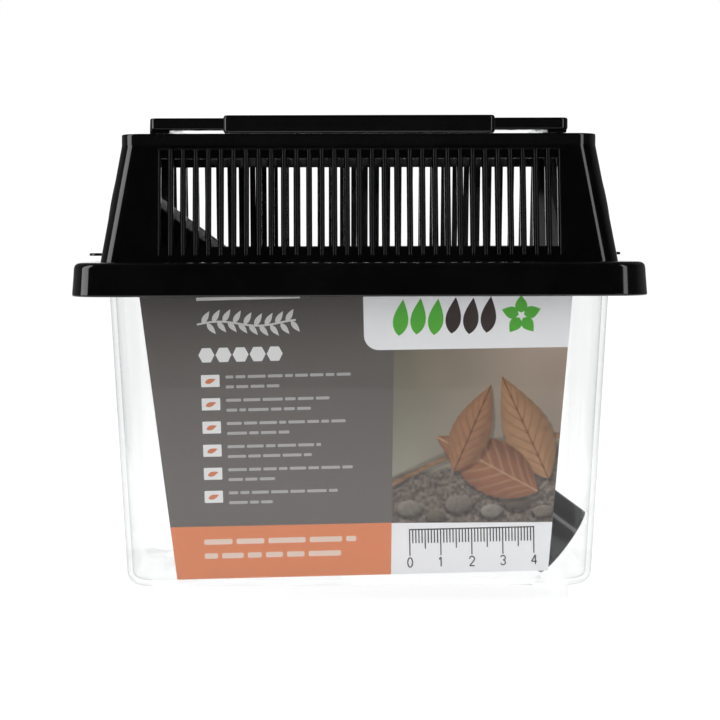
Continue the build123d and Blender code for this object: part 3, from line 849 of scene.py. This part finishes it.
def studio_sheet_material():
    """White paper: it takes the object's shadow, and is mostly plain white where it is seen.

    The camera, clear plastic and gloss see that white over the lit paper. What gloss sees of it
    fades in a straight line towards the paper's front edge.
    """
    material, tree, shader = new_material("studio_paper")
    shader.inputs["Base Color"].default_value = PAPER_LIT
    shader.inputs["Roughness"].default_value = PAPER_ROUGHNESS
    white = tree.nodes.new("ShaderNodeEmission")
    coordinates = tree.nodes.new("ShaderNodeTexCoord")
    depth = split_vector(tree, coordinates.outputs["Object"])["Y"]
    faded = PAPER_FADED * PAPER_WHITE
    in_gloss = remap(tree, depth, FLOOR_FRONT_Y, FLOOR_FADE_Y, faded, PAPER_WHITE)
    straight = ray_kind(tree, "Is Camera Ray", "Is Transmission Ray")
    full = remap(tree, straight, 0, 1, 0, PAPER_WHITE)
    tree.links.new(math_node(tree, "MAXIMUM", in_gloss, full), white.inputs["Strength"])
    seen = ray_kind(tree, "Is Camera Ray", "Is Transmission Ray", "Is Glossy Ray")
    share = remap(tree, seen, 0, 1, 0, 1 - PAPER_SHADOW_SHARE)
    surface = mix_shaders(tree, share, shader.outputs["BSDF"], white.outputs["Emission"])
    output = next(n for n in tree.nodes if n.type == "OUTPUT_MATERIAL")
    tree.links.new(surface, output.inputs["Surface"])
    return material


ROOM_FILL = 0.5
ROOM_IN_GLOSS = 0.008
ROOM_BEHIND_IN_GLOSS = 0.12
ROOM_STRAIGHT_BEHIND = 1.15
LOW_GLOW_IN_GLOSS = 0.05
BEHIND_FROM, BEHIND_TO = -0.1, 0.35
STRAIGHT_FROM, STRAIGHT_TO = 0.92, 0.95
LOW_GLOW_FROM, LOW_GLOW_TO = 0.06, 0.14


def studio_world():
    """A soft even room: white behind the object, dim in what the glossy plastic mirrors.

    In gloss the room brightens from the sides towards the back, is white straight behind, and has
    a faint glow low down all round that fades out by about eight degrees up.
    """
    world = bpy.data.worlds.new("studio")
    bpy.context.scene.world = world
    world.use_nodes = True
    tree = world.node_tree
    background = tree.nodes["Background"]
    background.inputs["Color"].default_value = (1, 1, 1, 1)
    coordinates = tree.nodes.new("ShaderNodeTexCoord")
    way = split_vector(tree, coordinates.outputs["Generated"])
    behind = remap(tree, way["Y"], BEHIND_FROM, BEHIND_TO, ROOM_IN_GLOSS, ROOM_BEHIND_IN_GLOSS)
    straight = remap(tree, way["Y"], STRAIGHT_FROM, STRAIGHT_TO, 0, ROOM_STRAIGHT_BEHIND)
    low = remap(tree, way["Z"], LOW_GLOW_FROM, LOW_GLOW_TO, LOW_GLOW_IN_GLOSS, 0)
    mirrored = math_node(tree, "ADD", math_node(tree, "MAXIMUM", behind, straight), low)
    fill = tree.nodes.new("ShaderNodeMix")
    fill.inputs["A"].default_value = ROOM_FILL
    tree.links.new(mirrored, fill.inputs["B"])
    tree.links.new(ray_kind(tree, "Is Glossy Ray"), fill.inputs["Factor"])
    seen = ray_kind(tree, "Is Camera Ray", "Is Transmission Ray")
    strength = math_node(tree, "MAXIMUM", fill.outputs["Result"], seen)
    tree.links.new(strength, background.inputs["Strength"])


def softbox(name, place, aim, width, height, radiance, in_gloss=True):
    """A rectangular lamp at place that points at aim, as bright as radiance all over its face."""
    data = bpy.data.lights.new(name, "AREA")
    data.shape = "RECTANGLE"
    data.size = width
    data.size_y = height
    data.energy = radiance * math.pi * width * height
    lamp = bpy.data.objects.new(name, data)
    bpy.context.scene.collection.objects.link(lamp)
    lamp.location = place
    lamp.rotation_euler = (Vector(aim) - Vector(place)).to_track_quat("-Z", "Y").to_euler()
    lamp.visible_glossy = in_gloss


sheet = studio_sheet()
sheet.data.materials.append(studio_sheet_material())
studio_world()

# Two tall softboxes make the highlights on the corners, and a long strip overhead lights the
# floor, which lights the card.
SIDE_HEIGHT = 0.65
SIDE_TALL = 1.2
LEFT_PLACE, LEFT_AIM = (-1.0, -0.185, SIDE_HEIGHT), (0, -0.185, SIDE_HEIGHT)
LEFT_WIDTH, LEFT_RADIANCE = 0.43, 3.5
RIGHT_PLACE, RIGHT_AIM = (0.805, -0.738, SIDE_HEIGHT), (0.08, -0.05, SIDE_HEIGHT)
RIGHT_WIDTH, RIGHT_RADIANCE = 0.23, 3.0
TOP_PLACE, TOP_AIM = (0, -0.2, 1.3), (0, -0.2, 0)
TOP_LENGTH, TOP_WIDTH, TOP_RADIANCE = 1.3, 0.14, 23.0

softbox("left_softbox", LEFT_PLACE, LEFT_AIM, LEFT_WIDTH, SIDE_TALL, LEFT_RADIANCE)
softbox("right_strip", RIGHT_PLACE, RIGHT_AIM, RIGHT_WIDTH, SIDE_TALL, RIGHT_RADIANCE)
softbox("top_strip", TOP_PLACE, TOP_AIM, TOP_LENGTH, TOP_WIDTH, TOP_RADIANCE, in_gloss=False)

bpy.context.scene.view_settings.view_transform = "Standard"
